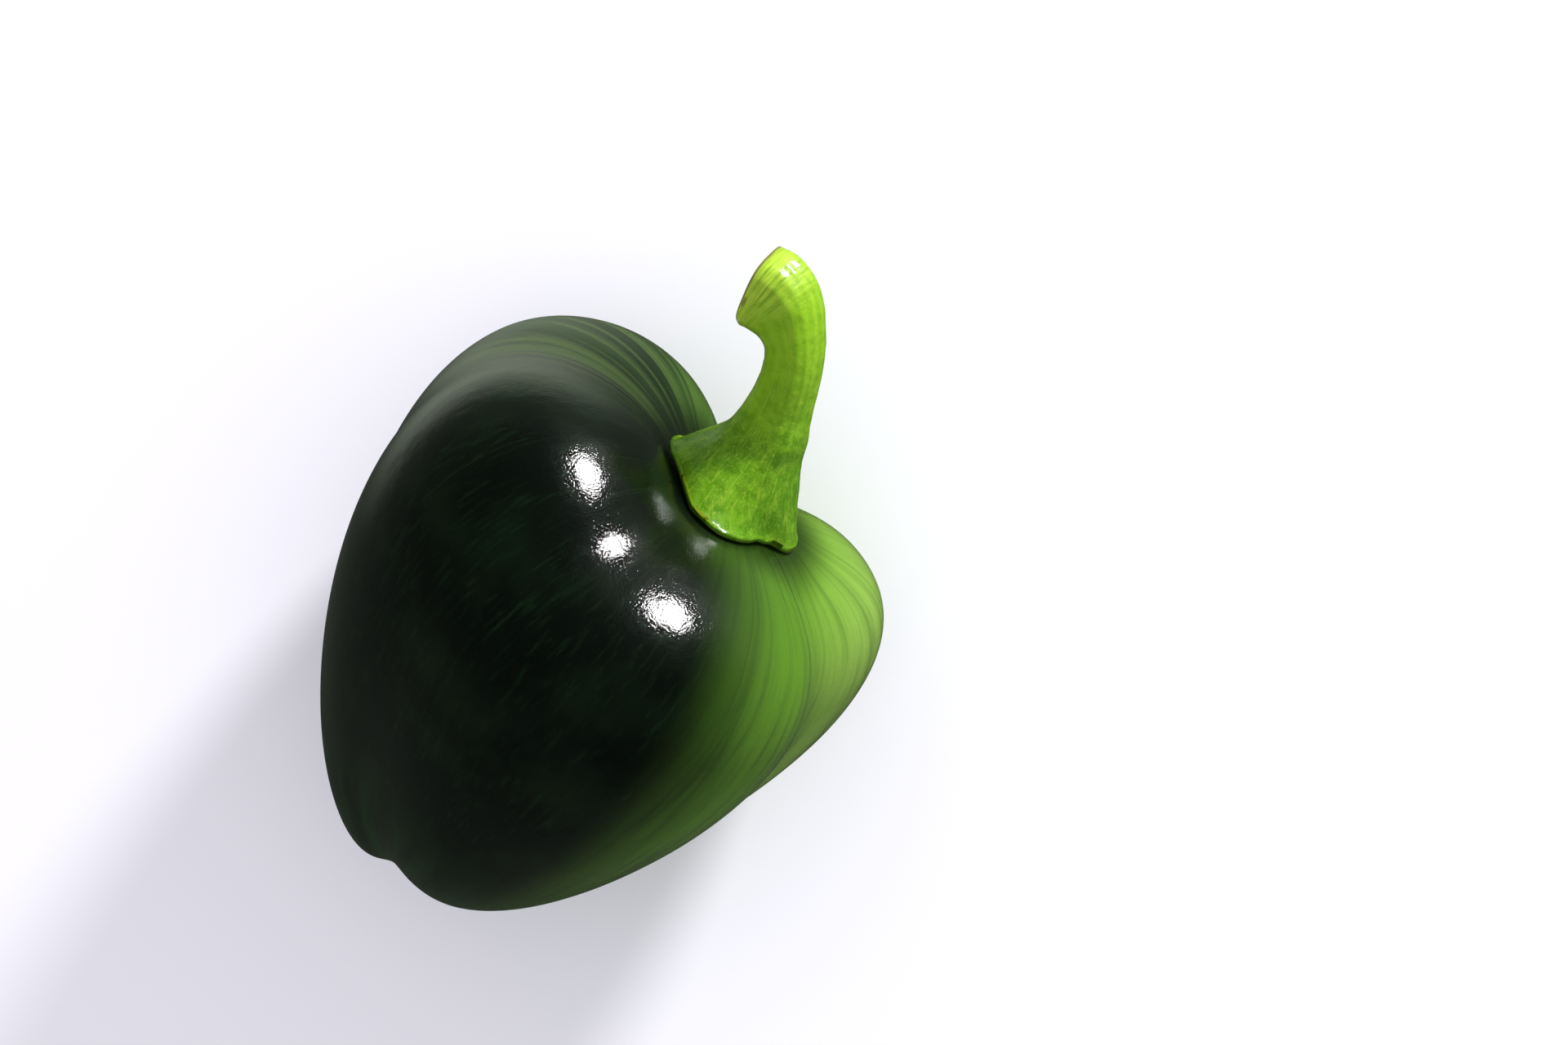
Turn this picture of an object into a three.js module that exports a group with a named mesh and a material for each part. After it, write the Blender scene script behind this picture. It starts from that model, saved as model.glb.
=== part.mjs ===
// A green bell pepper, picked with its stalk and lying on its side.
// Two pieces: the four-lobed fruit, and the calyx that grew as one with the stalk.
// Millimetres, +Z up, the stalk end towards +X. The origin is under the middle, on the surface.
import * as THREE from 'three';
import { mergeVertices } from 'three/addons/utils/BufferGeometryUtils.js';

// The fruit, in its growing frame: +Z runs from the blossom end to the stalk.
// Each lobe is an egg set off the axis: its turn about the axis in degrees, how far its middle
// stands off the axis, its half sizes (out, around, along), and its lift towards the stalk.
const LOBES = [
  { turn: 57, offset: 20.8, out: 25.6, around: 23.7, along: 44.6, lift: 1.4 },
  { turn: 117.9, offset: 19.2, out: 22.5, around: 28.2, along: 46.3, lift: 0.1 },
  { turn: 194.3, offset: 14.7, out: 33.1, around: 30.6, along: 41.1, lift: -1.1 },
  { turn: 302.8, offset: 16.5, out: 25.5, around: 24.6, along: 42.2, lift: -4.0 },
];
const HALF_LENGTH = 50; // the length that the shares along the axis are counted in
const CREASE_SHARPNESS = 18; // higher makes the furrows between the lobes sharper
const CORE_RADIUS = 18;
const CORE_HALF_LENGTH = 38.9;
const CORE_SQUARENESS = 4;
const TAPER = 0.4; // how much wider the stalk end is than the blossom end
const BLUNTNESS = 0.09; // how far the ends are drawn out to a blocky shape
const LEAN = -3.4; // sideways shift of the stalk end
const BOW = -4.8; // sideways shift of both ends
const SKIN_DETAIL = 16; // splits of each edge of the starting icosahedron

// How the fruit lies: rolled about its axis, stalk end raised, worn flat where it touches
const LYING_ROLL = 2.9;
const LYING_RISE = 15.15;
const FLAT_DEPTH = 0.35;

// The calyx: a blunt square collar that sits a little off the middle of its seat. Each corner runs
// out towards a furrow: its turn about the middle in degrees, and how far it reaches.
const CALYX_CORNERS = [
  { turn: -4, reach: 13.5 },
  { turn: 86, reach: 13.2 },
  { turn: 186, reach: 16.0 },
  { turn: 264, reach: 13.0 },
];
const CALYX_REACH = 13.7; // the reach that the stalk's outlines start from
const CALYX_NOTCH = 0.2; // how far its sides draw in between the corners
const CALYX_SHIFT = new THREE.Vector3(-0.8, -1.5, 0);
const CALYX_THICKNESS = 1.1;
const SKIN_GAP = 0.5;
const UNDERSIDE_STEPS = 5;

// The stalk leans off the fruit's axis: towards the upper side, and towards +Y
const STALK_LEAN_UP = 8;
const STALK_LEAN_SIDE = 5.5;
const STALK_BEND_TURN = 11; // turns the plane that it bends in about its own axis, in degrees
// Its two outlines in the plane that it bends in: [height above the collar, side], from the collar
// to the cut end. The inner one is the side it bends to. Depth is half its size across that plane.
const INNER_OUTLINE = [
  [0.5, 13.4], [4.6, 11.0], [10.0, 6.9], [13.6, 5.8], [17.1, 5.4], [20.4, 5.3],
  [24.2, 5.8], [26.5, 6.7], [27.2, 8.0], [27.2, 9.4], [26.9, 10.6], [26.6, 11.4], [27.0, 11.7],
];
const OUTER_OUTLINE = [
  [0.5, -13.2], [4.8, -10.4], [11.0, -7.2], [14.6, -6.4], [18.9, -5.1], [22.8, -4.2],
  [27.0, -3.1], [30.9, -1.6], [34.3, 0.2], [37.5, 2.4], [39.8, 5.2], [41.2, 9.3], [40.7, 12.7],
];
const DEPTHS = [13.7, 11.3, 7.4, 6.0, 5.2, 4.8, 4.7, 4.7, 4.8, 5.1, 5.4, 5.6, 5.6];
const STALK_RIBS = 5;
const RIB_DEPTH = 0.035;
const SIDES = 36;
const RINGS = 28;
const CUT_RINGS = 3;
const CUT_HOLLOW = 0.7; // how far the middle of the cut end lies below its edge
const COLLAR_FADE = 0.22; // share of the outlines over which the collar's shape fades out
const COLLAR_CLING = 3; // higher lets the collar leave the skin sooner

// The seat's points are found by halving a tilt from the axis, down to this step
const SEAT_TILT = 60;
const TILT_STEP = 1e-6;

const radians = THREE.MathUtils.degToRad;

function lobeReach(direction, lobe) {
  const turn = radians(lobe.turn);
  const out = (direction.x * Math.cos(turn) + direction.y * Math.sin(turn)) / lobe.out;
  const around = (direction.y * Math.cos(turn) - direction.x * Math.sin(turn)) / lobe.around;
  const along = direction.z / lobe.along;
  const middleOut = lobe.offset / lobe.out;
  const middleAlong = lobe.lift / lobe.along;
  const square = out * out + around * around + along * along;
  const half = out * middleOut + along * middleAlong;
  const rest = middleOut * middleOut + middleAlong * middleAlong - 1;
  return (half + Math.sqrt(half * half - square * rest)) / square;
}

function coreReach(direction) {
  const wide = Math.hypot(direction.x, direction.y) / CORE_RADIUS;
  const high = Math.abs(direction.z) / CORE_HALF_LENGTH;
  return (wide ** CORE_SQUARENESS + high ** CORE_SQUARENESS) ** (-1 / CORE_SQUARENESS);
}

// The fruit's skin in a direction from its middle: the furthest of the lobes and the core, with
// the furrows between them softened, then tapered, drawn blocky and bowed along the axis.
function skinPoint(direction) {
  const reaches = [...LOBES.map((lobe) => lobeReach(direction, lobe)), coreReach(direction)];
  let sum = 0;
  for (const reach of reaches) sum += (reach / HALF_LENGTH) ** CREASE_SHARPNESS;
  const reach = HALF_LENGTH * sum ** (1 / CREASE_SHARPNESS);
  const share = (direction.z * reach) / HALF_LENGTH;
  const width = reach * (1 + TAPER * share);
  return new THREE.Vector3(
    direction.x * width,
    direction.y * width + LEAN * share + BOW * share ** 2,
    HALF_LENGTH * (share * (1 + BLUNTNESS) - BLUNTNESS * share ** 3),
  );
}

const lying = new THREE.Quaternion()
  .setFromAxisAngle(new THREE.Vector3(0, 1, 0), radians(90 - LYING_RISE))
  .multiply(new THREE.Quaternion().setFromAxisAngle(new THREE.Vector3(0, 0, 1), radians(LYING_ROLL)));
const down = new THREE.Vector3(0, 0, -1).applyQuaternion(lying.clone().invert());

function makeFruit() {
  const geometry = new THREE.IcosahedronGeometry(1, SKIN_DETAIL);
  geometry.deleteAttribute('normal');
  geometry.deleteAttribute('uv');
  const skin = mergeVertices(geometry);
  const place = skin.getAttribute('position');
  const points = [];
  for (let i = 0; i < place.count; i += 1) {
    points.push(skinPoint(new THREE.Vector3().fromBufferAttribute(place, i).normalize()));
  }
  // The lobes that carry the weight are flat where they meet the surface
  const lowest = Math.max(...points.map((point) => point.dot(down)));
  const surface = new THREE.Plane(down, -(lowest - FLAT_DEPTH));
  points.forEach((point, i) => {
    if (surface.distanceToPoint(point) > 0) surface.projectPoint(point, point);
    place.setXYZ(i, point.x, point.y, point.z);
  });
  skin.computeVertexNormals();
  return skin;
}

const pole = skinPoint(new THREE.Vector3(0, 0, 1));

// The skin's point at a turn about the calyx's middle and a distance from it
function seatPoint(calyxTurn, calyxDistance) {
  const x = CALYX_SHIFT.x + calyxDistance * Math.cos(calyxTurn);
  const y = CALYX_SHIFT.y + calyxDistance * Math.sin(calyxTurn);
  const turn = Math.atan2(y, x);
  const distance = Math.hypot(x, y);
  let low = 0;
  let high = radians(SEAT_TILT);
  let point = pole.clone();
  while (high - low > TILT_STEP) {
    const tilt = (low + high) / 2;
    point = skinPoint(new THREE.Vector3(
      Math.sin(tilt) * Math.cos(turn),
      Math.sin(tilt) * Math.sin(turn),
      Math.cos(tilt),
    ));
    if (Math.hypot(point.x - pole.x, point.y - pole.y) < distance) low = tilt;
    else high = tilt;
  }
  return point;
}

// The collar's outline as a share of its nominal reach: from corner to corner, drawn in between
function collarShare(turn) {
  const first = CALYX_CORNERS[0].turn;
  const degrees = THREE.MathUtils.euclideanModulo(THREE.MathUtils.radToDeg(turn) - first, 360);
  const passed = CALYX_CORNERS.map((corner) => corner.turn - first);
  const last = passed.findLastIndex((start) => start <= degrees);
  const next = (last + 1) % CALYX_CORNERS.length;
  const way = (degrees - passed[last]) / ((passed[next] || 360) - passed[last]);
  const reach = THREE.MathUtils.lerp(
    CALYX_CORNERS[last].reach,
    CALYX_CORNERS[next].reach,
    THREE.MathUtils.smoothstep(way, 0, 1),
  );
  const notch = (CALYX_NOTCH * (1 - Math.cos(2 * Math.PI * way))) / 2;
  return (reach / CALYX_REACH) * (1 - notch);
}

function makeStemCalyx() {
  const axis = new THREE.Vector3(-Math.tan(radians(STALK_LEAN_UP)), Math.tan(radians(STALK_LEAN_SIDE)), 1);
  axis.normalize();
  const side = new THREE.Vector3(0, 1, 0).addScaledVector(axis, -axis.y).normalize();
  side.applyAxisAngle(axis, -radians(STALK_BEND_TURN));
  const across = new THREE.Vector3().crossVectors(side, axis);
  const inner = new THREE.SplineCurve(INNER_OUTLINE.map(([high, wide]) => new THREE.Vector2(wide, high)));
  const outer = new THREE.SplineCurve(OUTER_OUTLINE.map(([high, wide]) => new THREE.Vector2(wide, high)));
  const depth = new THREE.SplineCurve(DEPTHS.map((half, i) => new THREE.Vector2(i, half)));
  const base = pole.clone().add(CALYX_SHIFT);
  base.z += SKIN_GAP + CALYX_THICKNESS;
  const turns = Array.from({ length: SIDES }, (_, i) => (i / SIDES) * 2 * Math.PI);
  const rings = [];

  // The underside follows the skin of the seat from its middle out to the collar's edge
  const underside = (share) => turns.map((turn) => {
    const point = seatPoint(turn, share * CALYX_REACH * collarShare(turn));
    point.z += SKIN_GAP;
    return point;
  });
  for (let i = 1; i <= UNDERSIDE_STEPS; i += 1) rings.push(underside(i / UNDERSIDE_STEPS));
  const edge = rings[rings.length - 1];

  // Above it, rings between the two outlines, square at the collar and round with ribs higher up
  const outlineRing = (along) => {
    const from = inner.getPoint(along);
    const to = outer.getPoint(along);
    const half = depth.getPoint(along).y;
    const middle = from.clone().add(to).multiplyScalar(0.5);
    const reach = from.clone().sub(to).multiplyScalar(0.5);
    const fade = 1 - THREE.MathUtils.smoothstep(along, 0, COLLAR_FADE);
    return turns.map((turn, i) => {
      const rib = 1 + RIB_DEPTH * (1 - fade) * Math.cos(STALK_RIBS * turn);
      const share = THREE.MathUtils.lerp(rib, collarShare(turn), fade);
      const sideways = middle.x + reach.x * Math.sin(turn) * share;
      const height = middle.y + reach.y * Math.sin(turn) * share;
      const point = base.clone()
        .addScaledVector(side, sideways)
        .addScaledVector(axis, height)
        .addScaledVector(across, half * Math.cos(turn) * share);
      const followed = edge[i].clone();
      followed.z += CALYX_THICKNESS;
      return followed.lerp(point, 1 - fade ** COLLAR_CLING);
    });
  };
  for (let i = 0; i <= RINGS; i += 1) rings.push(outlineRing(i / RINGS));

  // The cut end, a little hollow towards its middle
  const rim = rings[rings.length - 1];
  const middle = rim.reduce((sum, point) => sum.add(point), new THREE.Vector3()).divideScalar(SIDES);
  const toQuarter = rim[SIDES / 4].clone().sub(middle);
  const toStart = rim[0].clone().sub(middle);
  const inwards = new THREE.Vector3().crossVectors(toQuarter, toStart).normalize();
  for (let i = 1; i < CUT_RINGS; i += 1) {
    const share = i / CUT_RINGS;
    const hollow = inwards.clone().multiplyScalar(CUT_HOLLOW * share);
    rings.push(rim.map((point) => point.clone().lerp(middle, share).add(hollow)));
  }
  const bottom = seatPoint(0, 0);
  bottom.z += SKIN_GAP;
  return closedRings(rings, bottom, middle.addScaledVector(inwards, CUT_HOLLOW));
}

// A closed surface over rings of equal length, with a point at each end
function closedRings(rings, first, last) {
  const points = [...rings.flat(), first, last];
  const count = rings[0].length;
  const faces = [];
  const corner = (ring, i) => ring * count + (i % count);
  for (let i = 0; i < count; i += 1) {
    faces.push(points.length - 2, corner(0, i + 1), corner(0, i));
    for (let ring = 0; ring < rings.length - 1; ring += 1) {
      faces.push(corner(ring, i), corner(ring, i + 1), corner(ring + 1, i + 1));
      faces.push(corner(ring, i), corner(ring + 1, i + 1), corner(ring + 1, i));
    }
    faces.push(points.length - 1, corner(rings.length - 1, i), corner(rings.length - 1, i + 1));
  }
  const geometry = new THREE.BufferGeometry().setFromPoints(points);
  geometry.setIndex(faces);
  geometry.computeVertexNormals();
  return geometry;
}

function mesh(name, geometry, colour, roughness) {
  const material = new THREE.MeshStandardMaterial({ color: colour, roughness, metalness: 0 });
  const made = new THREE.Mesh(geometry, material);
  made.name = name;
  return made;
}

const pepper = new THREE.Group();
pepper.add(mesh('fruit', makeFruit(), 0x14220f, 0.25));
pepper.add(mesh('stem_calyx', makeStemCalyx(), 0x6f9f1c, 0.45));
pepper.quaternion.copy(lying);

// The origin goes under the middle of the whole pepper, at the height of the surface it lies on
const part = new THREE.Group();
part.add(pepper);
part.updateMatrixWorld(true);
const box = new THREE.Box3().setFromObject(part, true);
const centre = box.getCenter(new THREE.Vector3());
pepper.position.set(-centre.x, -centre.y, -box.min.z);

export default part;
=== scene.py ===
import math

import bmesh
import bpy
from mathutils import Matrix, Quaternion, Vector
from mathutils.bvhtree import BVHTree


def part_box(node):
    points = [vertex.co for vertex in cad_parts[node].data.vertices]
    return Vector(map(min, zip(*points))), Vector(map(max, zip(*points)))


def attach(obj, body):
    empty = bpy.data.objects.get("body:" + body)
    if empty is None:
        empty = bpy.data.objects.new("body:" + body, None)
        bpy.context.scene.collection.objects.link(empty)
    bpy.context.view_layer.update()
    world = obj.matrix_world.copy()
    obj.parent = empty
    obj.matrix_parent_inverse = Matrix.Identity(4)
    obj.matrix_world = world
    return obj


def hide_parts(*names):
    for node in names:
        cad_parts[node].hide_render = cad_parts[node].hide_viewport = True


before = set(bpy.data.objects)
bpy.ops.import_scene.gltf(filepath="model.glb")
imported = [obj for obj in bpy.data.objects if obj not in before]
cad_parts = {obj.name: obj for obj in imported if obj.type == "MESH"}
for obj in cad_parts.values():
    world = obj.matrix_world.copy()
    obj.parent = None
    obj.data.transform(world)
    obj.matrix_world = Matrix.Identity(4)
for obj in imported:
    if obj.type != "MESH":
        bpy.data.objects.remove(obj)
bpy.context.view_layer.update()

MM = 0.001

# The fruit, in its growing frame: +Z runs from the blossom end to the stalk, sizes in millimetres.
# Each lobe is an egg set off the axis: its turn about the axis in degrees, how far its middle
# stands off the axis, its half sizes, and its lift towards the stalk.
LOBES = (
    {"Turn": 57, "Offset": 20.8, "Out": 25.6, "Around": 23.7, "Along": 44.6, "Lift": 1.4},
    {"Turn": 117.9, "Offset": 19.2, "Out": 22.5, "Around": 28.2, "Along": 46.3, "Lift": 0.1},
    {"Turn": 194.3, "Offset": 14.7, "Out": 33.1, "Around": 30.6, "Along": 41.1, "Lift": -1.1},
    {"Turn": 302.8, "Offset": 16.5, "Out": 25.5, "Around": 24.6, "Along": 42.2, "Lift": -4.0},
)
FRUIT_SHAPE = {
    "Half length": 50,
    "Crease sharpness": 18,
    "Core radius": 18,
    "Core half length": 38.9,
    "Core squareness": 4,
    "Taper": 0.4,
    "Bluntness": 0.09,
    "Lean": -3.4,
    "Bow": -4.8,
    "Fold height": 0.5,
    "Fold count": 1.5,
    "Flat depth": 0.35,
}
FRUIT_SEED = 3.0
SKIN_FACETS = 112
LYING_ROLL = 2.9
LYING_RISE = 15.15

# The fruit's shallow folds: how often they repeat along it, their noise's scale, detail and
# roughness, and where they fade in as the skin leaves the axis
FOLD_LENGTH = 0.7
FOLD_NOISE = (1.0, 2.0, 0.4)
FOLD_FADE = (0.05, 0.5)
POLE_ROUNDING = 0.0001

# The calyx sits a little off the middle of its seat. Each of its corners runs out towards a furrow:
# its turn about the middle in degrees, and how far it reaches.
CALYX_CORNERS = ((-4, 13.5), (86, 13.2), (186, 16.0), (264, 13.0))
CALYX_REACH = 13.7
CALYX_NOTCH = 0.2
CALYX_SHIFT = Vector((-0.8, -1.5, 0))
CALYX_THICKNESS = 1.1
SKIN_GAP = 0.5
UNDERSIDE_STEPS = 14

# The stalk, in its own plane: how high each point of its two outlines lies, and how far aside
STALK_LEAN_UP = 8
STALK_LEAN_SIDE = 5.5
STALK_BEND_TURN = 11
INNER_OUTLINE = (
    (0.5, 13.4), (4.6, 11.0), (10.0, 6.9), (13.6, 5.8), (17.1, 5.4), (20.4, 5.3),
    (24.2, 5.8), (26.5, 6.7), (27.2, 8.0), (27.2, 9.4), (26.9, 10.6), (26.6, 11.4), (27.0, 11.7),
)
OUTER_OUTLINE = (
    (0.5, -13.2), (4.8, -10.4), (11.0, -7.2), (14.6, -6.4), (18.9, -5.1), (22.8, -4.2),
    (27.0, -3.1), (30.9, -1.6), (34.3, 0.2), (37.5, 2.4), (39.8, 5.2), (41.2, 9.3), (40.7, 12.7),
)
DEPTHS = (13.7, 11.3, 7.4, 6.0, 5.2, 4.8, 4.7, 4.7, 4.8, 5.1, 5.4, 5.6, 5.6)
STALK_SIDES = 180
STALK_RINGS = 190
STALK_RIBS = 5
RIB_DEPTH = 0.035
CUT_RINGS = 16
CUT_HOLLOW = 0.7
CUT_HOLLOW_SPAN = 0.6
COLLAR_FADE = 0.22
COLLAR_CLING = 3

# The low relief on the calyx and stalk. Places along them run from 0 at the calyx's edge to 1 at
# the cut. A span of four rises between its first two places and falls between its last two.
STALK_RELIEF = {
    "Rib count": 17.0,
    "Rib height": 0.06,
    "Vein height": 0.16,
    "Blister height": 0.14,
    "Rim lift": 0.5,
}
STALK_SEED = 2.0
RIBS_SPAN = (0.1, 0.3, 0.86, 1.0)
VEINS_SPAN = (0.0, 0.04, 0.2, 0.4)
BLISTERS_SPAN = (0.0, 0.03, 0.97, 1.0)
RIM_SPAN = (-0.25, 0.0, 0.0, 0.06)
RIB_WANDER = 5
RIM_WAVES = 9
RIM_WAVE_WANDER = 20
RIM_WAVE_SHARE = 0.25

# The relief's noises: repeats round the stalk and along it, then the noise's scale and detail
WANDER_REPEATS = (1, 0.6)
WANDER_NOISE = (1.6, 1.0)
VEIN_REPEATS = (2.6, 1.5)
VEIN_NOISE = (1.0, 3.0)
VEIN_SEED_STEP = 4
BLISTER_NOISE = (420.0, 2.0)
BLISTER_SEED_STEP = 9

# From the growing frame to the part's: rolled about the axis, then laid down with the stalk raised
LYING = (
    Matrix.Rotation(math.radians(90 - LYING_RISE), 3, "Y")
    @ Matrix.Rotation(math.radians(LYING_ROLL), 3, "Z")
)


class Wire:
    """A socket of a node tree that plain arithmetic works on."""

    def __init__(self, tree, socket):
        self.tree = tree
        self.socket = socket

    def __add__(self, other):
        return calculate(self.tree, "ADD", self, other)

    def __radd__(self, other):
        return calculate(self.tree, "ADD", other, self)

    def __sub__(self, other):
        return calculate(self.tree, "SUBTRACT", self, other)

    def __rsub__(self, other):
        return calculate(self.tree, "SUBTRACT", other, self)

    def __mul__(self, other):
        return calculate(self.tree, "MULTIPLY", self, other)

    def __rmul__(self, other):
        return calculate(self.tree, "MULTIPLY", other, self)

    def __truediv__(self, other):
        return calculate(self.tree, "DIVIDE", self, other)

    def __rtruediv__(self, other):
        return calculate(self.tree, "DIVIDE", other, self)

    def __pow__(self, other):
        return calculate(self.tree, "POWER", self, other)


def plug(tree, value, socket):
    """Links a wire to a socket, or writes a plain value on it."""
    if isinstance(value, Wire):
        tree.links.new(value.socket, socket)
    else:
        socket.default_value = value


def add_node(tree, kind, values=None, output=0, **settings):
    """Adds a node, with its settings and the values of its inputs, and gives back one output."""
    node = tree.nodes.new(kind)
    for name, setting in settings.items():
        setattr(node, name, setting)
    for name, value in (values or {}).items():
        plug(tree, value, node.inputs[name])
    return Wire(tree, node.outputs[output])


def calculate(tree, operation, *terms):
    return add_node(tree, "ShaderNodeMath", dict(enumerate(terms)), operation=operation)


def calculate_vector(tree, operation, *terms, output=0):
    values = dict(enumerate(terms))
    return add_node(tree, "ShaderNodeVectorMath", values, output, operation=operation)


def scale_vector(tree, vector, size):
    values = {0: vector, "Scale": size}
    return add_node(tree, "ShaderNodeVectorMath", values, operation="SCALE")


def constant_vector(tree, value):
    node = tree.nodes.new("FunctionNodeInputVector")
    node.vector = value
    return Wire(tree, node.outputs[0])


def split(vector):
    """The three numbers of a vector."""
    node = vector.tree.nodes.new("ShaderNodeSeparateXYZ")
    plug(vector.tree, vector, node.inputs[0])
    return [Wire(vector.tree, socket) for socket in node.outputs]


def join(tree, x, y, z):
    return add_node(tree, "ShaderNodeCombineXYZ", {0: x, 1: y, 2: z})


def ramp(value, low, high, low_result=0.0, high_result=1.0):
    """Maps a value that runs from low to high smoothly onto a range of results."""
    values = {0: value, 1: low, 2: high, 3: low_result, 4: high_result}
    return add_node(value.tree, "ShaderNodeMapRange", values, interpolation_type="SMOOTHSTEP")


def within(value, span):
    """1 inside a span of four values and 0 outside it, with a smooth rise and fall."""
    rise_start, rise_end, fall_start, fall_end = span
    return ramp(value, rise_start, rise_end) * (1 - ramp(value, fall_start, fall_end))


def new_tree(name, inputs, outputs):
    """A node tree with named inputs and outputs, and the wires of its inputs by name."""
    tree = bpy.data.node_groups.new(name, "GeometryNodeTree")
    for label, kind in inputs.items():
        tree.interface.new_socket(label, in_out="INPUT", socket_type=f"NodeSocket{kind}")
    for label, kind in outputs.items():
        tree.interface.new_socket(label, in_out="OUTPUT", socket_type=f"NodeSocket{kind}")
    entry = tree.nodes.new("NodeGroupInput")
    wires = {label: Wire(tree, entry.outputs[label]) for label in inputs}
    return tree, wires


def end_tree(tree, **results):
    end = tree.nodes.new("NodeGroupOutput")
    for label, wire in results.items():
        plug(tree, wire, end.inputs[label])


def store(geometry, name, value, kind="FLOAT"):
    """Keeps a value on the points of a geometry, under a name that a material can read."""
    values = {"Geometry": geometry, "Name": name, "Value": value}
    settings = {"data_type": kind, "domain": "POINT"}
    return add_node(geometry.tree, "GeometryNodeStoreNamedAttribute", values, **settings)


def stored(tree, name, kind):
    """A value that was kept on the points of a geometry."""
    return add_node(tree, "GeometryNodeInputNamedAttribute", {"Name": name}, data_type=kind)


def drawn_out(tree, place, around, length):
    """A place to read a noise at, so that it repeats so often round a piece and along it."""
    cosine, sine, along = place
    return join(tree, cosine * around, sine * around, along * length)


def seeded_noise(tree, vector, seed, scale, detail, roughness=0.5):
    values = {"Vector": vector, "W": seed, "Scale": scale, "Detail": detail, "Roughness": roughness}
    return add_node(tree, "ShaderNodeTexNoise", values, noise_dimensions="4D")


def lobe_reach_tree():
    """How far an egg-shaped lobe reaches from the fruit's middle in a direction."""
    inputs = {"Direction": "Vector", **{name: "Float" for name in LOBES[0]}}
    tree, given = new_tree("lobe reach", inputs, {"Reach": "Float"})
    x, y, z = split(given["Direction"])
    turn = calculate(tree, "RADIANS", given["Turn"])
    cosine = calculate(tree, "COSINE", turn)
    sine = calculate(tree, "SINE", turn)
    out = (x * cosine + y * sine) / given["Out"]
    around = (y * cosine - x * sine) / given["Around"]
    along = z / given["Along"]
    middle_out = given["Offset"] / given["Out"]
    middle_along = given["Lift"] / given["Along"]
    square = out * out + around * around + along * along
    half = out * middle_out + along * middle_along
    rest = middle_out * middle_out + middle_along * middle_along - 1
    root = calculate(tree, "SQRT", half * half - square * rest)
    end_tree(tree, Reach=(half + root) / square)
    return tree


def core_reach(direction, given):
    """How far the squarish core reaches, which the lobes grow round."""
    tree = direction.tree
    x, y, z = split(direction)
    wide = calculate(tree, "SQRT", x * x + y * y) / given["Core radius"]
    high = calculate(tree, "ABSOLUTE", z) / given["Core half length"]
    squareness = given["Core squareness"]
    return (wide ** squareness + high ** squareness) ** (-1 / squareness)


def even_sphere(tree, facets):
    """A round mesh of squares: a cube's grid drawn out to a sphere, with its squares kept even."""
    values = {"Size": (2, 2, 2), "Vertices X": facets, "Vertices Y": facets, "Vertices Z": facets}
    cube = add_node(tree, "GeometryNodeMeshCube", values)
    place = add_node(tree, "GeometryNodeInputPosition")
    even = calculate_vector(tree, "TANGENT", scale_vector(tree, place, math.pi / 4))
    return cube, calculate_vector(tree, "NORMALIZE", even)


def fruit_tree(skin):
    """The fruit from its lobes: the furthest of them and the core, with softened furrows between."""
    inputs = {"Facets": "Int", **{name: "Float" for name in FRUIT_SHAPE}}
    for i, lobe in enumerate(LOBES, 1):
        inputs.update({f"Lobe {i} {name}": "Float" for name in lobe})
    inputs["Seed"] = "Float"
    tree, given = new_tree("pepper fruit", inputs, {"Geometry": "Geometry"})
    sphere, direction = even_sphere(tree, given["Facets"])
    sphere = store(sphere, "direction", direction, "FLOAT_VECTOR")
    direction = stored(tree, "direction", "FLOAT_VECTOR")
    x, y, z = split(direction)

    lobe_tree = lobe_reach_tree()
    reaches = [core_reach(direction, given)]
    for i, lobe in enumerate(LOBES, 1):
        group = tree.nodes.new("GeometryNodeGroup")
        group.node_tree = lobe_tree
        plug(tree, direction, group.inputs["Direction"])
        for name in lobe:
            plug(tree, given[f"Lobe {i} {name}"], group.inputs[name])
        reaches.append(Wire(tree, group.outputs[0]))
    sharpness = given["Crease sharpness"]
    half_length = given["Half length"]
    total = sum((reach / half_length) ** sharpness for reach in reaches)
    reach = half_length * total ** (1 / sharpness)

    # Shallow folds run along the fruit and over its shoulders
    wide = calculate(tree, "SQRT", x * x + y * y + POLE_ROUNDING)
    meridian = drawn_out(tree, (x / wide, y / wide, z), given["Fold count"], FOLD_LENGTH)
    fold = seeded_noise(tree, meridian, given["Seed"], *FOLD_NOISE) - 0.5
    reach = reach + fold * given["Fold height"] * ramp(wide, *FOLD_FADE) * 2

    share = z * reach / half_length
    width = reach * (1 + given["Taper"] * share)
    bluntness = given["Bluntness"]
    long = half_length * (share * (1 + bluntness) - bluntness * share * share * share)
    sideways = y * width + given["Lean"] * share + given["Bow"] * share * share
    grown = join(tree, x * width, sideways, long)
    body = add_node(tree, "GeometryNodeSetPosition", {"Geometry": sphere, "Position": grown})
    body = store(body, "grown", grown, "FLOAT_VECTOR")
    body = store(body, "meridian", join(tree, x / wide, y / wide, share), "FLOAT_VECTOR")

    # Laid down, and flat where the lobes that carry it meet the surface
    values = {"Geometry": body, "Rotation": LYING.to_euler("XYZ")}
    body = add_node(tree, "GeometryNodeTransform", values)
    px, py, pz = split(add_node(tree, "GeometryNodeInputPosition"))
    lowest = add_node(tree, "GeometryNodeAttributeStatistic", {"Geometry": body, 2: pz}, "Min")
    flat = calculate(tree, "MAXIMUM", pz, lowest + given["Flat depth"])
    values = {"Geometry": body, "Position": join(tree, px, py, flat)}
    body = add_node(tree, "GeometryNodeSetPosition", values)
    body = add_node(tree, "GeometryNodeTransform", {"Geometry": body, "Scale": (MM, MM, MM)})
    finish_tree(tree, body, skin)
    return tree


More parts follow.
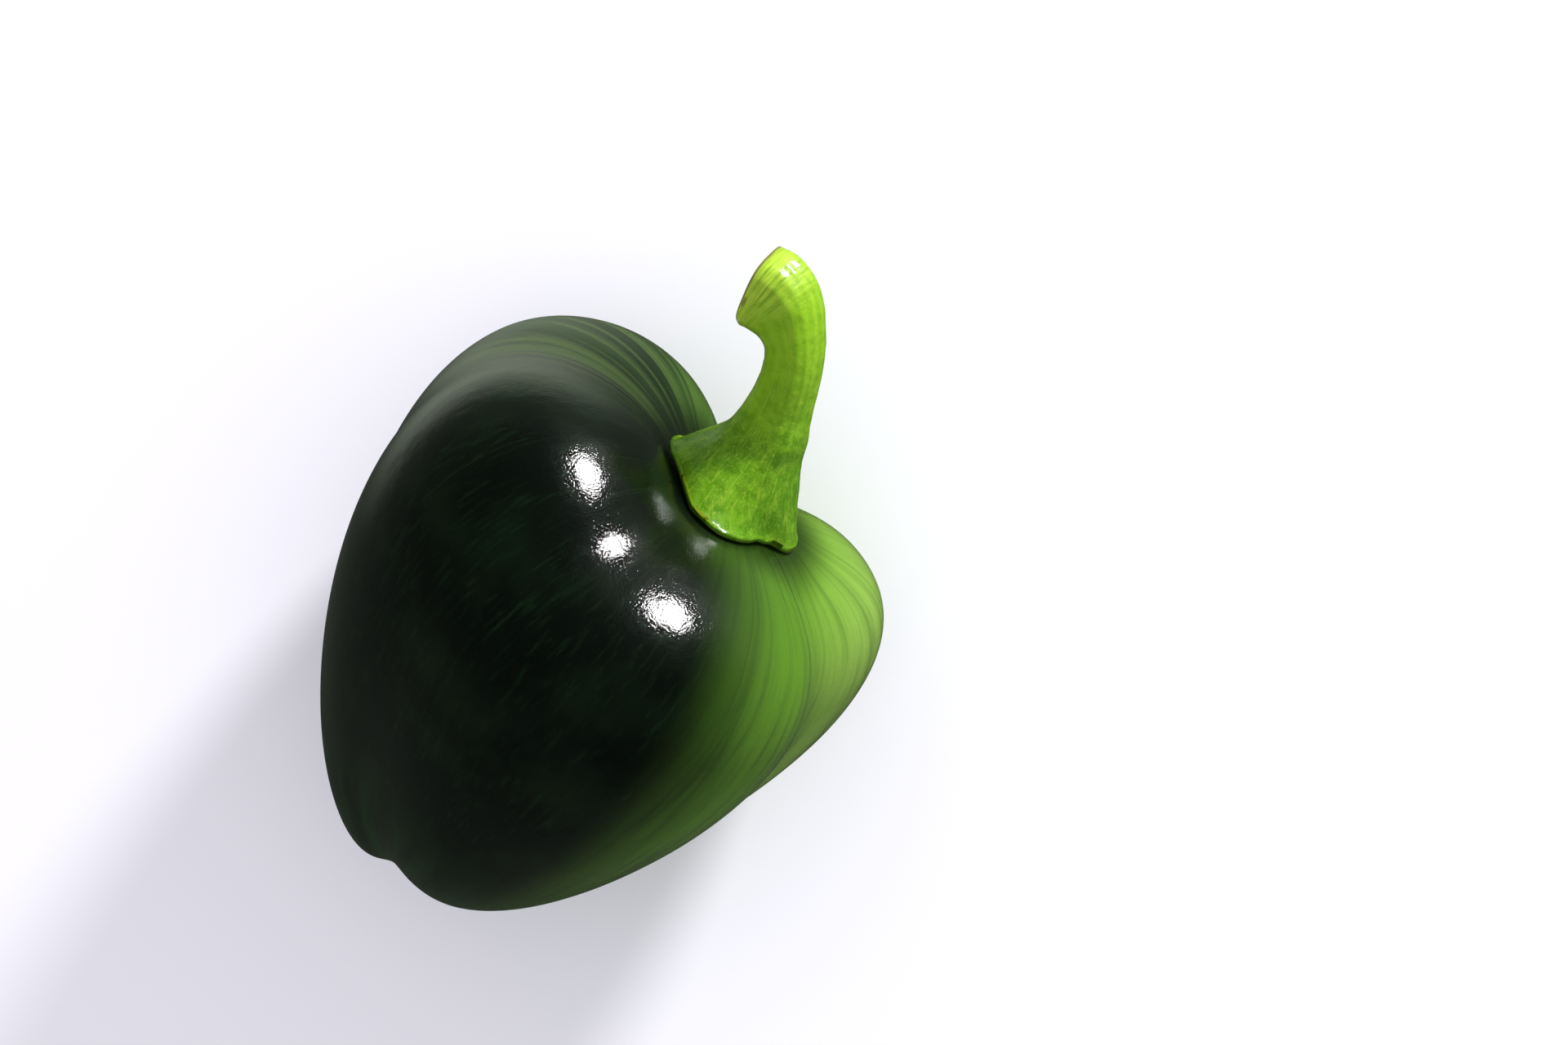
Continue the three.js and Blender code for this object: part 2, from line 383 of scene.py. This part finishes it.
def finish_tree(tree, body, material):
    """Ends a geometry tree: a smooth, real mesh in its material."""
    body = add_node(tree, "GeometryNodeSetShadeSmooth", {"Geometry": body})
    body = add_node(tree, "GeometryNodeRealizeInstances", {"Geometry": body})
    values = {"Geometry": body, "Material": material}
    end_tree(tree, Geometry=add_node(tree, "GeometryNodeSetMaterial", values))


def grow(name, tree, values, start=None):
    """Runs a geometry tree with its named inputs and keeps the result as a plain mesh."""
    seed = bpy.data.objects.new(f"{name} start", start or bpy.data.meshes.new(f"{name} start"))
    bpy.context.scene.collection.objects.link(seed)
    modifier = seed.modifiers.new(name, "NODES")
    modifier.node_group = tree
    for item in tree.interface.items_tree:
        if item.in_out == "INPUT" and item.name in values:
            modifier[item.identifier] = values[item.name]
    graph = bpy.context.evaluated_depsgraph_get()
    grown = bpy.data.meshes.new_from_object(seed.evaluated_get(graph), depsgraph=graph)
    bpy.data.objects.remove(seed)
    grown.name = name
    return grown


def fit_to_node(mesh, node):
    """Draws a mesh out to the box of its CAD node, and gives back how it was drawn out."""
    low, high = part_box(node)
    points = [vertex.co for vertex in mesh.vertices]
    own_low = Vector(min(point[i] for point in points) for i in range(3))
    own_high = Vector(max(point[i] for point in points) for i in range(3))
    scale = Vector((high[i] - low[i]) / (own_high[i] - own_low[i]) for i in range(3))
    fitted = Matrix.Translation(low) @ Matrix.Diagonal((*scale, 1)) @ Matrix.Translation(-own_low)
    mesh.transform(fitted)
    return fitted


def show(data, name):
    """Puts a mesh, a light or a camera in the scene."""
    shown = bpy.data.objects.new(name, data)
    bpy.context.scene.collection.objects.link(shown)
    return shown


def make_fruit(skin):
    values = {"Facets": SKIN_FACETS, "Seed": FRUIT_SEED}
    values.update({name: float(size) for name, size in FRUIT_SHAPE.items()})
    for i, lobe in enumerate(LOBES, 1):
        values.update({f"Lobe {i} {name}": float(size) for name, size in lobe.items()})
    mesh = grow("pepper_fruit", fruit_tree(skin), values)
    placed = fit_to_node(mesh, "fruit")
    piece = show(mesh, "pepper_fruit")
    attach(piece, "root")
    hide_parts("fruit")
    return piece, placed


def spline_point(points, share):
    """A point of the smooth curve through a row of points, at a share of its length in points."""
    place = share * (len(points) - 1)
    first = min(int(place), len(points) - 2)
    step = place - first
    before, start, end, after = (
        Vector(points[max(0, min(len(points) - 1, first + k))]) for k in (-1, 0, 1, 2)
    )
    leaving = (end - before) / 2
    arriving = (after - start) / 2
    cubed = (start - end) * 2 + leaving + arriving
    squared = (end - start) * 3 - leaving * 2 - arriving
    return ((cubed * step + squared) * step + leaving) * step + start


def smooth_step(value, low, high):
    share = max(0.0, min(1.0, (value - low) / (high - low)))
    return share * share * (3 - 2 * share)


def collar_share(turn):
    """The collar's outline as a share of its nominal reach: corner to corner, drawn in between."""
    first_turn, first_reach = CALYX_CORNERS[0]
    degrees = (math.degrees(turn) - first_turn) % 360
    corners = [(corner - first_turn, reach) for corner, reach in CALYX_CORNERS]
    corners.append((360, first_reach))
    for (start, start_reach), (end, end_reach) in zip(corners, corners[1:]):
        if start <= degrees <= end:
            way = (degrees - start) / (end - start)
            reach = start_reach + (end_reach - start_reach) * smooth_step(way, 0, 1)
    return reach / CALYX_REACH * (1 - CALYX_NOTCH * (1 - math.cos(math.tau * way)) / 2)


class Seat:
    """The fruit's skin round the stalk, in the growing frame, in millimetres."""

    def __init__(self, fruit, placed):
        self.to_part = placed @ Matrix.Diagonal((MM, MM, MM, 1)) @ LYING.to_4x4()
        back = self.to_part.inverted()
        points = [back @ vertex.co for vertex in fruit.data.vertices]
        faces = [tuple(face.vertices) for face in fruit.data.polygons]
        self.skin = BVHTree.FromPolygons(points, faces)
        share = FRUIT_SHAPE["Core half length"] / FRUIT_SHAPE["Half length"]
        pole = Vector((0, FRUIT_SHAPE["Lean"] * share + FRUIT_SHAPE["Bow"] * share ** 2, 0))
        self.pole = self.under(pole)
        self.middle = self.under(pole + CALYX_SHIFT)

    def under(self, point):
        """The skin straight under a point."""
        above = Vector((point.x, point.y, 2 * FRUIT_SHAPE["Half length"]))
        return self.skin.ray_cast(above, Vector((0, 0, -1)))[0]

    def at(self, turn, distance):
        """The skin at a turn about the calyx's middle, and a distance from it."""
        step = Vector((math.cos(turn), math.sin(turn), 0)) * distance
        return self.under(self.middle + step)


def stalk_rings(seat):
    """The rings of the calyx and stalk, each with how far along it lies: below 0 is the underside."""
    lean_up = math.tan(math.radians(STALK_LEAN_UP))
    lean_side = math.tan(math.radians(STALK_LEAN_SIDE))
    axis = Vector((-lean_up, lean_side, 1)).normalized()
    side = (Vector((0, 1, 0)) - axis * axis.y).normalized()
    side.rotate(Quaternion(axis, -math.radians(STALK_BEND_TURN)))
    across = side.cross(axis)
    base = seat.pole + CALYX_SHIFT + Vector((0, 0, SKIN_GAP + CALYX_THICKNESS))
    turns = [math.tau * i / STALK_SIDES for i in range(STALK_SIDES)]
    gap = Vector((0, 0, SKIN_GAP))
    rings = []
    for i in range(1, UNDERSIDE_STEPS + 1):
        share = i / UNDERSIDE_STEPS
        reach = share * CALYX_REACH
        rings.append((share - 1, [seat.at(turn, reach * collar_share(turn)) + gap for turn in turns]))
    edge = rings[-1][1]
    for i in range(STALK_RINGS + 1):
        along = i / STALK_RINGS
        start_height, start_side = spline_point(INNER_OUTLINE, along)
        end_height, end_side = spline_point(OUTER_OUTLINE, along)
        depth = spline_point([(half, 0) for half in DEPTHS], along).x
        fade = 1 - smooth_step(along, 0, COLLAR_FADE)
        ring = []
        for turn, skin in zip(turns, edge):
            rib = 1 + RIB_DEPTH * (1 - fade) * math.cos(STALK_RIBS * turn)
            share = rib + (collar_share(turn) - rib) * fade
            swing = math.sin(turn) * share / 2
            sideways = (start_side + end_side) / 2 + (start_side - end_side) * swing
            height = (start_height + end_height) / 2 + (start_height - end_height) * swing
            point = base + side * sideways + axis * height + across * depth * math.cos(turn) * share
            followed = skin + Vector((0, 0, CALYX_THICKNESS))
            ring.append(followed.lerp(point, 1 - fade ** COLLAR_CLING))
        rings.append((along, ring))
    rim = rings[-1][1]
    middle = sum(rim, Vector()) / STALK_SIDES
    inwards = (rim[STALK_SIDES // 4] - middle).cross(rim[0] - middle).normalized()
    for i in range(1, CUT_RINGS):
        share = i / CUT_RINGS
        hollow = inwards * CUT_HOLLOW * smooth_step(share, 0, CUT_HOLLOW_SPAN)
        rings.append((1 + share, [point.lerp(middle, share) + hollow for point in rim]))
    return rings, middle + inwards * CUT_HOLLOW


def lofted_stalk(seat):
    """The plain calyx and stalk as a closed mesh, with its turn and distance along kept on it."""
    rings, last = stalk_rings(seat)
    mesh = bmesh.new()
    along_layer = mesh.verts.layers.float.new("along")
    turn_layer = mesh.verts.layers.float_vector.new("turn")
    rows = []
    for along, ring in rings:
        row = []
        for i, point in enumerate(ring):
            turn = math.tau * i / STALK_SIDES
            corner = mesh.verts.new(seat.to_part @ point)
            corner[along_layer] = along
            corner[turn_layer] = (math.cos(turn), math.sin(turn), along)
            row.append(corner)
        rows.append(row)
    first_point = mesh.verts.new(seat.to_part @ (seat.middle + Vector((0, 0, SKIN_GAP))))
    last_point = mesh.verts.new(seat.to_part @ last)
    first_point[along_layer] = -1
    last_point[along_layer] = 2
    for i in range(STALK_SIDES):
        k = (i + 1) % STALK_SIDES
        mesh.faces.new((first_point, rows[0][k], rows[0][i]))
        mesh.faces.new((last_point, rows[-1][i], rows[-1][k]))
        for low, high in zip(rows, rows[1:]):
            mesh.faces.new((low[i], low[k], high[k], high[i]))
    made = bpy.data.meshes.new("plain stalk")
    mesh.to_mesh(made)
    mesh.free()
    return made


def relief_tree(flesh):
    """Ribs that follow the stalk, veins that run out over the calyx, blisters, and a lifted rim."""
    names = {name: "Float" for name in STALK_RELIEF}
    inputs = {"Geometry": "Geometry", **names, "Seed": "Float"}
    tree, given = new_tree("stalk relief", inputs, {"Geometry": "Geometry"})
    cosine, sine, _ = split(stored(tree, "turn", "FLOAT_VECTOR"))
    along = stored(tree, "along", "FLOAT")
    turn = (cosine, sine, along)
    angle = calculate(tree, "ARCTAN2", sine, cosine)
    seed = given["Seed"]

    bend = drawn_out(tree, turn, *WANDER_REPEATS)
    wander = seeded_noise(tree, bend, seed, *WANDER_NOISE) - 0.5
    wave = calculate(tree, "COSINE", angle * given["Rib count"] + wander * RIB_WANDER)
    ribs = wave * within(along, RIBS_SPAN) * given["Rib height"]

    course = drawn_out(tree, turn, *VEIN_REPEATS)
    vein = seeded_noise(tree, course, seed + VEIN_SEED_STEP, *VEIN_NOISE) - 0.5
    veins = vein * 2 * within(along, VEINS_SPAN) * given["Vein height"]

    place = add_node(tree, "GeometryNodeInputPosition")
    lump = seeded_noise(tree, place, seed + BLISTER_SEED_STEP, *BLISTER_NOISE) - 0.5
    blisters = lump * 2 * within(along, BLISTERS_SPAN) * given["Blister height"]

    normal = add_node(tree, "GeometryNodeInputNormal")
    raised = scale_vector(tree, normal, (ribs + veins + blisters) * MM)
    edge_wave = calculate(tree, "SINE", angle * RIM_WAVES + wander * RIM_WAVE_WANDER)
    lift = within(along, RIM_SPAN) * given["Rim lift"]
    lift = lift * (1 - RIM_WAVE_SHARE + RIM_WAVE_SHARE * edge_wave)
    up = constant_vector(tree, LYING @ Vector((0, 0, MM)))
    offset = calculate_vector(tree, "ADD", raised, scale_vector(tree, up, lift))
    values = {"Geometry": given["Geometry"], "Offset": offset}
    finish_tree(tree, add_node(tree, "GeometryNodeSetPosition", values), flesh)
    return tree


def make_stalk(seat, flesh):
    values = {**STALK_RELIEF, "Seed": STALK_SEED}
    mesh = grow("calyx_and_stalk", relief_tree(flesh), values, lofted_stalk(seat))
    fit_to_node(mesh, "stem_calyx")
    piece = show(mesh, "calyx_and_stalk")
    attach(piece, "root")
    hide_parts("stem_calyx")


def new_material(name):
    """A material with a fresh shader, and that shader's node."""
    material = bpy.data.materials.new(name)
    material.use_nodes = True
    material.node_tree.nodes.clear()
    shader = material.node_tree.nodes.new("ShaderNodeBsdfPrincipled")
    end = material.node_tree.nodes.new("ShaderNodeOutputMaterial")
    material.node_tree.links.new(shader.outputs[0], end.inputs["Surface"])
    return material, shader


def mix_colour(tree, share, first, second):
    node = tree.nodes.new("ShaderNodeMix")
    node.data_type = "RGBA"
    plug(tree, share, node.inputs["Factor"])
    for value, socket in ((first, node.inputs[6]), (second, node.inputs[7])):
        plug(tree, value if isinstance(value, Wire) else (*value, 1), socket)
    return Wire(tree, node.outputs[2])


def paint(tree, colour, layers):
    """Lays colours over a first one in order, each by its own share."""
    for share, layer in layers:
        colour = mix_colour(tree, share, colour, layer)
    return colour


def noise(tree, vector, scale, detail, roughness, distortion=0.0):
    values = {"Vector": vector, "Scale": scale, "Detail": detail}
    values.update({"Roughness": roughness, "Distortion": distortion})
    return add_node(tree, "ShaderNodeTexNoise", values)


def lengthwise_noise(tree, place, pattern):
    """A noise that follows a piece's length: place is the turn's cosine and sine, and the length."""
    around, length, *values = pattern
    return noise(tree, drawn_out(tree, place, around, length), *values)


def give_finish(shader, finish):
    for name, value in finish.items():
        shader.inputs[name].default_value = value


def kept(tree, name):
    """A vector that was kept on the points of a mesh, read by a material."""
    return add_node(tree, "ShaderNodeAttribute", output="Vector", attribute_name=name)


def bumps(tree, layers):
    """A normal raised by heights in order, each with its depth in millimetres and its strength."""
    normal = None
    for height, depth, strength in layers:
        values = {"Height": height, "Distance": depth * MM, "Strength": strength}
        if normal:
            values["Normal"] = normal
        normal = add_node(tree, "ShaderNodeBump", values)
    return normal


def length_of(tree, *parts):
    """How long a vector is, from its parts."""
    return calculate(tree, "SQRT", sum(part * part for part in parts))


# Patterns that follow a piece's length: repeats round it, repeats along it, and the noise's scale,
# detail, roughness and distortion. The others give only the noise.
SKIN_STREAKS = (9, 0.9, 2.0, 4.0, 0.55, 0.35)
SKIN_BANDS = (3, 0.9, 2.0, 2.0, 0.5, 0.4)
SKIN_THREADS = (40, 7, 1.6, 4.0, 0.6)
SKIN_PATCHES = (0.045, 3.0, 0.55)
SKIN_GRAIN = (2600, 2.0, 0.8)
SKIN_CELLS = (1500, 3.0, 0.6)
SKIN_PEEL = (260, 2.0, 0.5)
STALK_FIBRES = (26, 3.5, 1.0, 3.0, 0.6, 0.3)
STALK_VEINS = (6, 9, 1.0, 2.0, 0.6, 0.8)
STALK_BANDS = (1.3, 90, 1.0, 2.0, 0.5, 0.2)
STALK_MOTTLE = (150, 4.0, 0.6, 0.5)
STALK_DAPPLE = (620, 4.0, 0.62)
STALK_SPECKLE = (2600, 2.0, 0.6)

BLACK_GREEN = (0.0013, 0.0030, 0.0017)
BOTTLE_GREEN = (0.011, 0.042, 0.012)
MOSS_GREEN = (0.020, 0.046, 0.012)
OLIVE_GREEN = (0.066, 0.112, 0.026)
GRASS_GREEN = (0.088, 0.215, 0.010)
PALE_GREEN = (0.210, 0.350, 0.060)
SCAR_BROWN = (0.10, 0.075, 0.03)

# Where the skin changes colour, in millimetres of the growing frame: from none of it to all of it.
# The far side is a sum of how far across, round and along a place lies. The flank lies aside; its
# green and pale edge are partly the skin's own colour and partly painted light.
FAR_SIDE_WAY = (0.62, 6, 0.12)
FAR_SIDE = (2, 34)
FLANK_WAY = (0.5, 0.86)
GREEN_FLANK = (-8, 22)
PALE_FLANK = (14, 40)
BLOSSOM_SIDE = (-14, -46)
# The seat round the calyx is darkened as painted shade: from what height, within what radius
SEAT_SHADE_HEIGHT = (28, 34)
SEAT_SHADE_RADIUS = (22, 13)
SEAT_MIDDLE_Y = -6.9
SCAR_EDGE = (-0.9955, -0.9985)
SCAR_RAGGEDNESS = 0.004
SCAR_ROUGHNESS = 0.3
SKIN_ROUGHNESS = (0.3, 0.42)
SKIN_FINISH = {"Coat Roughness": 0.07, "Specular IOR Level": 0.05}


def pepper_skin():
    """Waxy skin: near black where it is ripest, with green streaks that fan out from the stalk."""
    material, shader = new_material("pepper skin")
    tree = material.node_tree
    meridian = split(kept(tree, "meridian"))
    grown = kept(tree, "grown")
    gx, gy, gz = split(grown)
    _, _, heading = split(kept(tree, "direction"))

    streaks = lengthwise_noise(tree, meridian, SKIN_STREAKS)
    bands = lengthwise_noise(tree, meridian, SKIN_BANDS)
    threads = lengthwise_noise(tree, meridian, SKIN_THREADS)
    patches = noise(tree, grown, *SKIN_PATCHES)

    across, around, along = FAR_SIDE_WAY
    far_side = ramp(gx * across + meridian[1] * around + gz * along, *FAR_SIDE)
    # The greener, paler flank: partly the skin's own green, partly painted light
    flank = gx * FLANK_WAY[0] - gy * FLANK_WAY[1]
    green_flank = ramp(flank, *GREEN_FLANK)
    pale_flank = ramp(flank, *PALE_FLANK)
    # Painted shade in the hollow of the seat round the calyx
    off_middle = length_of(tree, gx, gy - SEAT_MIDDLE_Y)
    seat = ramp(gz, *SEAT_SHADE_HEIGHT) * ramp(off_middle, *SEAT_SHADE_RADIUS)
    scar = ramp(heading + (streaks - 0.5) * SCAR_RAGGEDNESS, *SCAR_EDGE)

    # Each layer of colour: where it lies and how strong it is there, then the colour
    layers = (
        (ramp(patches, 0.45, 0.8) * 0.22, BOTTLE_GREEN),
        (ramp(gz, *BLOSSOM_SIDE) * ramp(bands, 0.3, 0.7), BOTTLE_GREEN),
        (far_side * ramp(bands, 0.25, 0.6), MOSS_GREEN),
        (far_side * ramp(streaks, 0.4, 0.64) * ramp(bands, 0.2, 0.5), OLIVE_GREEN),
        # the flank's grass green and pale green: partly the skin's own, partly painted light
        (green_flank * ramp(bands, 0.0, 0.5), MOSS_GREEN),
        (green_flank * ramp(streaks, 0.05, 0.62), GRASS_GREEN),
        (pale_flank * ramp(streaks, 0.2, 0.6, 0.3, 1) * 0.85, PALE_GREEN),
        (ramp(threads, 0.5, 0.8) * 0.25, BOTTLE_GREEN),
        # painted shade in the seat round the calyx
        (seat * 0.8, BLACK_GREEN),
        (scar, SCAR_BROWN),
    )
    plug(tree, paint(tree, BLACK_GREEN, layers), shader.inputs["Base Color"])

    place = add_node(tree, "ShaderNodeTexCoord", output="Object")
    grain = noise(tree, place, *SKIN_GRAIN)
    cells = noise(tree, place, *SKIN_CELLS)
    peel = noise(tree, place, *SKIN_PEEL)
    heights = ((cells, 0.02, 1.0), (grain, 0.04, 1.0), (peel, 0.1, 1.0), (streaks, 0.03, 1.0))
    normal = bumps(tree, heights)
    plug(tree, normal, shader.inputs["Normal"])
    plug(tree, normal, shader.inputs["Coat Normal"])
    rough = ramp(patches, 0.3, 0.7, *SKIN_ROUGHNESS)
    plug(tree, rough + scar * SCAR_ROUGHNESS, shader.inputs["Roughness"])
    plug(tree, 1 - scar, shader.inputs["Coat Weight"])
    give_finish(shader, SKIN_FINISH)
    return material


LIME_GREEN = (0.162, 0.352, 0.007)
LEAF_GREEN = (0.078, 0.222, 0.003)
FRESH_LIME = (0.220, 0.410, 0.010)
SHADE_GREEN = (0.036, 0.120, 0.002)
PALE_LIME = (0.38, 0.53, 0.045)
PITH = (0.34, 0.40, 0.16)
CUT_BROWN = (0.13, 0.085, 0.03)

# Where the stalk changes colour, by the distance along it. The calyx's edge is darkened as painted
# shade.
NECK_SPAN = (0.16, 0.3, 0.75, 0.9)
COLLAR_END = (0.2, 0.34)
COLLAR_SHADE_EDGE = (-0.1, 0.16)
UPPER_PART = (0.2, 0.5)
# The flared end is paler: partly its own colour, partly painted light
FLARED_END = (0.72, 0.93)
PITH_START = (1.04, 1.2)
CUT_EDGE_START = (0.974, 0.99)
CUT_EDGE_END = (1.08, 1.2)
VEIN_WIDTH = 0.028
BROWN_SPOT = (-0.97, 0.12, 0.965)
BROWN_SPOT_SIZE = (0.2, 0.08)
BROWN_SPOT_SQUEEZE = 8
STALK_ROUGHNESS = (0.3, 0.5)
STALK_FINISH = {
    "Subsurface Weight": 0.2,
    "Subsurface Radius": (0.6, 1.0, 0.15),
    "Subsurface Scale": 0.0015,
    "Coat Weight": 0.45,
    "Coat Roughness": 0.1,
    "Specular IOR Level": 0.15,
}


def stalk_flesh():
    """The fleshy stalk: mottled lime and leaf green, pale veins on the calyx, a brown cut edge."""
    material, shader = new_material("stalk flesh")
    tree = material.node_tree
    place = add_node(tree, "ShaderNodeTexCoord", output="Object")
    turn = split(kept(tree, "turn"))
    cosine, sine, along = turn
    mottle = noise(tree, place, *STALK_MOTTLE)
    dapple = noise(tree, place, *STALK_DAPPLE)
    # The speckle raises fine bumps, and its pale specks are painted wet glints
    speckle = noise(tree, place, *STALK_SPECKLE)
    fibres = lengthwise_noise(tree, turn, STALK_FIBRES)
    veins = lengthwise_noise(tree, turn, STALK_VEINS)
    bands = lengthwise_noise(tree, turn, STALK_BANDS)

    uneven = dapple - 0.5
    blotches = mottle + uneven * 1.1
    neck = within(along, NECK_SPAN)
    collar = 1 - ramp(along, *COLLAR_END)
    vein = ramp(calculate(tree, "ABSOLUTE", veins - 0.5), VEIN_WIDTH, 0.0)
    end = ramp(along, *FLARED_END)

    # The cut end: a thin brown edge, pale pith inside it, and a brown spot beside the edge
    spot_cosine, spot_sine, spot_along = BROWN_SPOT
    off_along = (along - spot_along) * BROWN_SPOT_SQUEEZE
    off_spot = (cosine - spot_cosine, sine - spot_sine, off_along)
    apart = length_of(tree, *off_spot) + uneven * 0.15
    pith = mix_colour(tree, ramp(dapple, 0.45, 0.7), PITH, PALE_LIME)
    cut_edge = ramp(along + uneven * 0.01, *CUT_EDGE_START)
    cut_edge = cut_edge * (1 - ramp(along + uneven * 0.1, *CUT_EDGE_END))

    # Each layer of colour: where it lies and how strong it is there, then the colour
    layers = (
        (ramp(blotches, 0.22, 0.72), LIME_GREEN),
        (neck * ramp(fibres, 0.5, 0.7) * 0.4, PALE_LIME),
        (neck * ramp(fibres, 0.5, 0.3) * 0.25, LEAF_GREEN),
        (collar * vein * 0.5, PALE_LIME),
        # painted shade along the calyx's edge
        (collar * (1 - ramp(along, *COLLAR_SHADE_EDGE)) * 0.7, SHADE_GREEN),
        (ramp(along, *UPPER_PART) * 0.45, FRESH_LIME),
        (collar * ramp(blotches, 0.68, 0.28, 0.28, 0.48), SHADE_GREEN),
        # the flared end's pale: partly its own colour, partly painted light
        (end * 0.5, PALE_LIME),
        (end * ramp(bands, 0.5, 0.64) * 0.7, PALE_LIME),
        (end * ramp(bands, 0.47, 0.36) * 0.55, LEAF_GREEN),
        # pale specks: painted wet glints
        (ramp(speckle, 0.58, 0.72) * 0.35, PALE_LIME),
        (ramp(apart, *BROWN_SPOT_SIZE) * 0.7, CUT_BROWN),
        (ramp(along, *PITH_START), pith),
        (cut_edge * 0.8, CUT_BROWN),
    )
    plug(tree, paint(tree, LEAF_GREEN, layers), shader.inputs["Base Color"])

    normal = bumps(tree, ((mottle, 0.3, 0.5), (dapple, 0.16, 0.6), (speckle, 0.04, 0.6)))
    plug(tree, normal, shader.inputs["Normal"])
    plug(tree, normal, shader.inputs["Coat Normal"])
    plug(tree, ramp(dapple, 0.3, 0.7, *STALK_ROUGHNESS), shader.inputs["Roughness"])
    give_finish(shader, STALK_FINISH)
    return material


# The view: where the camera looks from and how the picture is turned, in the growing frame
TO_CAMERA = Vector((-0.9135, 0, 0.4067))
PICTURE_RIGHT = Vector((0.2333, -0.8192, 0.5240))
PICTURE_UP = Vector((0.3332, 0.5736, 0.7483))
CAMERA_DISTANCE = 0.643
LENS = 90
SENSOR = 36
AIM_RIGHT = 0.03579
AIM_UP = 0.02278


def set_camera(seat):
    """Sets the camera, and gives back the picture's three directions: right, up and towards it."""
    right = LYING @ PICTURE_RIGHT
    up = LYING @ PICTURE_UP
    back = LYING @ TO_CAMERA
    data = bpy.data.cameras.new("camera")
    data.lens = LENS
    data.sensor_width = SENSOR
    camera = show(data, "camera")
    aim = seat.to_part.translation + right * AIM_RIGHT + up * AIM_UP
    turned = Matrix((right, up, back)).transposed().to_4x4()
    camera.matrix_world = Matrix.Translation(aim + back * CAMERA_DISTANCE) @ turned
    bpy.context.scene.camera = camera
    return right, up, back


# The studio: one round light, soft light all round, and how much of that the glossy skin mirrors
LIGHT_WAY = (0.539, 0.757, 0.368)
LIGHT_DISTANCE = 1.2
LIGHT_SIZE = 0.22
LIGHT_POWER = 22
LIGHT_AIM = Vector((0, 0, 0.04))
SOFT_LIGHT = 0.85
BACKDROP = 0.95
HORIZON_SHEEN = 0.04
HORIZON_TOP = 0.5
OVERHEAD_SHEEN = 0.008
FLOOR_HALF_SIZE = 4
FLOOR_SHADE = 0.92
FLOOR_SHEEN = 0.055
FLOOR_FINISH = {"Roughness": 0.9, "Specular IOR Level": 0.1}

# A pale sheet on the floor past the fruit, which only its gloss mirrors: spans in metres
SHEET_SHEEN = 0.42
SHEET_TURN = 0.25
SHEET_BEYOND = (0.035, 0.07, 0.075, 0.15)
SHEET_SIDEWAYS = (-0.14, -0.05, -0.02, 0.05)

# Colours of the floor and of the soft light, and how much red and blue they lose in the gloss
FLOOR_COLOUR = (1, 0.985, 1.06)
FLOOR_LOSS = (0.14, 0.3)
SOFT_COLOUR = (0.97, 0.97, 1)
SOFT_LOSS = (0.12, 0.28)


def greener(colour, loss, mirrored):
    """A colour's three parts, with less red and blue where the gloss mirrors it."""
    red, green, blue = colour
    return red - mirrored * loss[0], green, blue - mirrored * loss[1]


def add_light(name, direction):
    data = bpy.data.lights.new(name, "AREA")
    data.shape = "DISK"
    data.size = LIGHT_SIZE
    data.energy = LIGHT_POWER
    light = show(data, name)
    light.location = LIGHT_AIM + direction.normalized() * LIGHT_DISTANCE
    light.rotation_euler = direction.to_track_quat("Z", "Y").to_euler()


def add_floor(right, up):
    mesh = bpy.data.meshes.new("floor")
    builder = bmesh.new()
    bmesh.ops.create_grid(builder, x_segments=1, y_segments=1, size=FLOOR_HALF_SIZE)
    builder.to_mesh(mesh)
    builder.free()
    material, shader = new_material("pale floor")
    tree = material.node_tree
    mirrored = add_node(tree, "ShaderNodeLightPath", output="Is Glossy Ray")
    place = add_node(tree, "ShaderNodeTexCoord", output="Object")
    sheet_way = (up - right * SHEET_TURN).normalized()
    beyond = calculate_vector(tree, "DOT_PRODUCT", place, sheet_way, output="Value")
    sideways = calculate_vector(tree, "DOT_PRODUCT", place, right, output="Value")
    sheet = within(beyond, SHEET_BEYOND) * within(sideways, SHEET_SIDEWAYS)
    shade = FLOOR_SHADE * (1 - mirrored) + (FLOOR_SHEEN + sheet * SHEET_SHEEN) * mirrored
    colour = (shade * part for part in greener(FLOOR_COLOUR, FLOOR_LOSS, mirrored))
    plug(tree, join(tree, *colour), shader.inputs["Base Color"])
    give_finish(shader, FLOOR_FINISH)
    mesh.materials.append(material)
    floor = show(mesh, "floor")


def add_soft_light():
    """Even light all round, which the camera sees as a backdrop and the gloss mirrors only a little."""
    world = bpy.data.worlds.new("soft surroundings")
    bpy.context.scene.world = world
    world.use_nodes = True
    tree = world.node_tree
    tree.nodes.clear()
    _, _, height = split(add_node(tree, "ShaderNodeTexCoord", output="Generated"))
    low_light = 1 - ramp(height, 0.0, HORIZON_TOP)
    seen = add_node(tree, "ShaderNodeLightPath", output="Is Camera Ray")
    mirrored = add_node(tree, "ShaderNodeLightPath", output="Is Glossy Ray")
    reflected = low_light * HORIZON_SHEEN + OVERHEAD_SHEEN
    strength = SOFT_LIGHT * (1 - mirrored) + reflected * mirrored
    strength = strength * (1 - seen) + seen * BACKDROP
    colour = join(tree, *greener(SOFT_COLOUR, SOFT_LOSS, mirrored))
    glow = add_node(tree, "ShaderNodeBackground", {"Strength": strength, "Color": colour})
    plug(tree, glow, tree.nodes.new("ShaderNodeOutputWorld").inputs["Surface"])


fruit, placed = make_fruit(pepper_skin())
seat = Seat(fruit, placed)
make_stalk(seat, stalk_flesh())
right, up, back = set_camera(seat)
add_light("key", right * LIGHT_WAY[0] + up * LIGHT_WAY[1] + back * LIGHT_WAY[2])
add_floor(right, up)
add_soft_light()
bpy.context.scene.view_settings.view_transform = "Standard"
